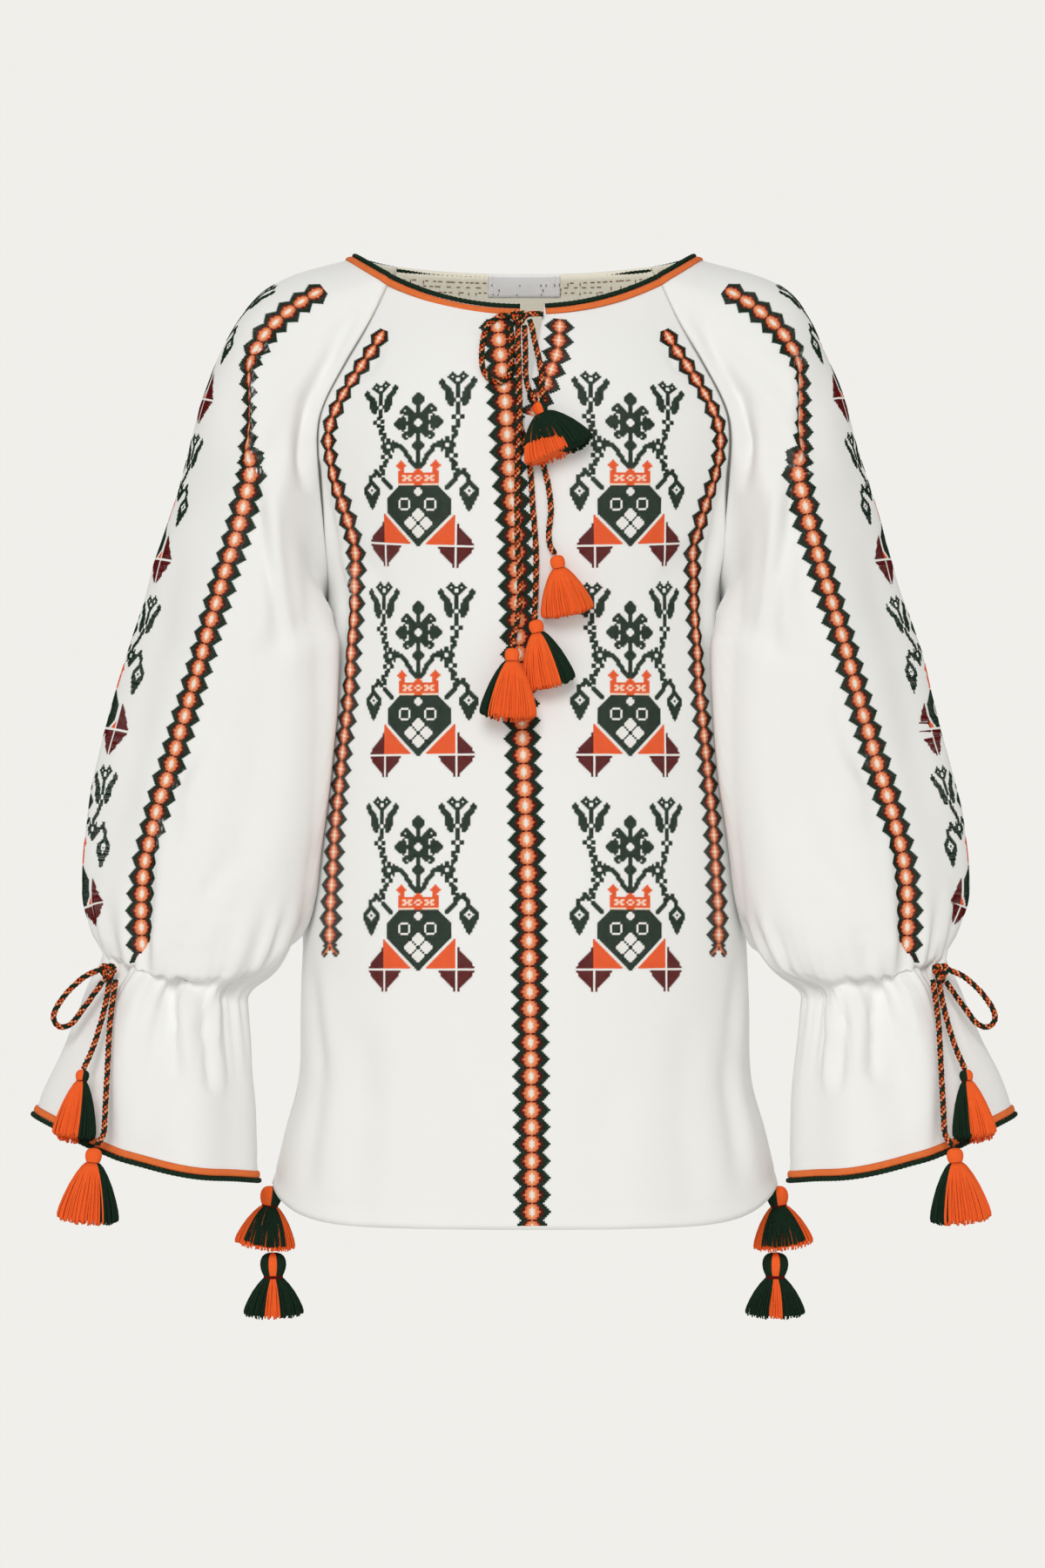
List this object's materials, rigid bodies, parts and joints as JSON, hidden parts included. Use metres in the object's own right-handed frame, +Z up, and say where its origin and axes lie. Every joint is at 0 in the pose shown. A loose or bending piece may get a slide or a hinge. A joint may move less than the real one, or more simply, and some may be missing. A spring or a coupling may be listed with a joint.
{
  "type": "embroidered peasant blouse",
  "caption": "Hollow, filled-out raglan blouse with long puffed sleeves, drawstring cuffs with flounces, a scooped neck with a tied slit, corded edges and hanging tassels.",
  "frame": {"origin": "between the shoulders at the height of the neckline's sides, where a wearer's shoulders or a form carries the blouse", "axes": "+X to the viewer's right when the front faces them, -Y out of the front, +Z up"},
  "size_m": [0.7288, 0.2757, 0.7944],
  "materials": {
    "white_cloth": "matte woven linen",
    "dark_green_yarn": "matte yarn",
    "orange_yarn": "soft yarn",
    "braided_tie": "braided yarn",
    "white_woven_tab": "smooth woven tape"
  },
  "bodies": {
    "root": {"front_panel": "white_cloth", "back_panel": "white_cloth", "sleeve_left": "white_cloth", "sleeve_right": "white_cloth", "neck_cord_green": "dark_green_yarn", "neck_braid_orange": "orange_yarn", "cuff_cord_green_left": "dark_green_yarn", "cuff_cord_green_right": "dark_green_yarn", "cuff_braid_orange_left": "orange_yarn", "cuff_braid_orange_right": "orange_yarn", "neck_label": "white_woven_tab", "neck_tassel_1": "dark_green_yarn", "neck_tassel_2": "orange_yarn", "neck_tassel_3": "orange_yarn", "neck_tassel_4": "orange_yarn", "cuff_tassel_upper_left": "orange_yarn", "cuff_tassel_upper_right": "orange_yarn", "cuff_tassel_lower_left": "orange_yarn", "cuff_tassel_lower_right": "orange_yarn", "side_tassel_upper_left": "orange_yarn", "side_tassel_upper_right": "orange_yarn", "side_tassel_lower_left": "dark_green_yarn", "side_tassel_lower_right": "dark_green_yarn", "neck_loop": "braided_tie", "neck_tie_1": "braided_tie", "neck_tie_2": "braided_tie", "neck_tie_3": "braided_tie", "neck_tie_4": "braided_tie", "neck_tie_bridge": "braided_tie", "neck_knot": "braided_tie", "cuff_loop_left": "braided_tie", "cuff_loop_right": "braided_tie", "cuff_tie_short_left": "braided_tie", "cuff_tie_short_right": "braided_tie", "cuff_tie_long_left": "braided_tie", "cuff_tie_long_right": "braided_tie", "cuff_knot_left": "braided_tie", "cuff_knot_right": "braided_tie"}
  },
  "joints": []
}
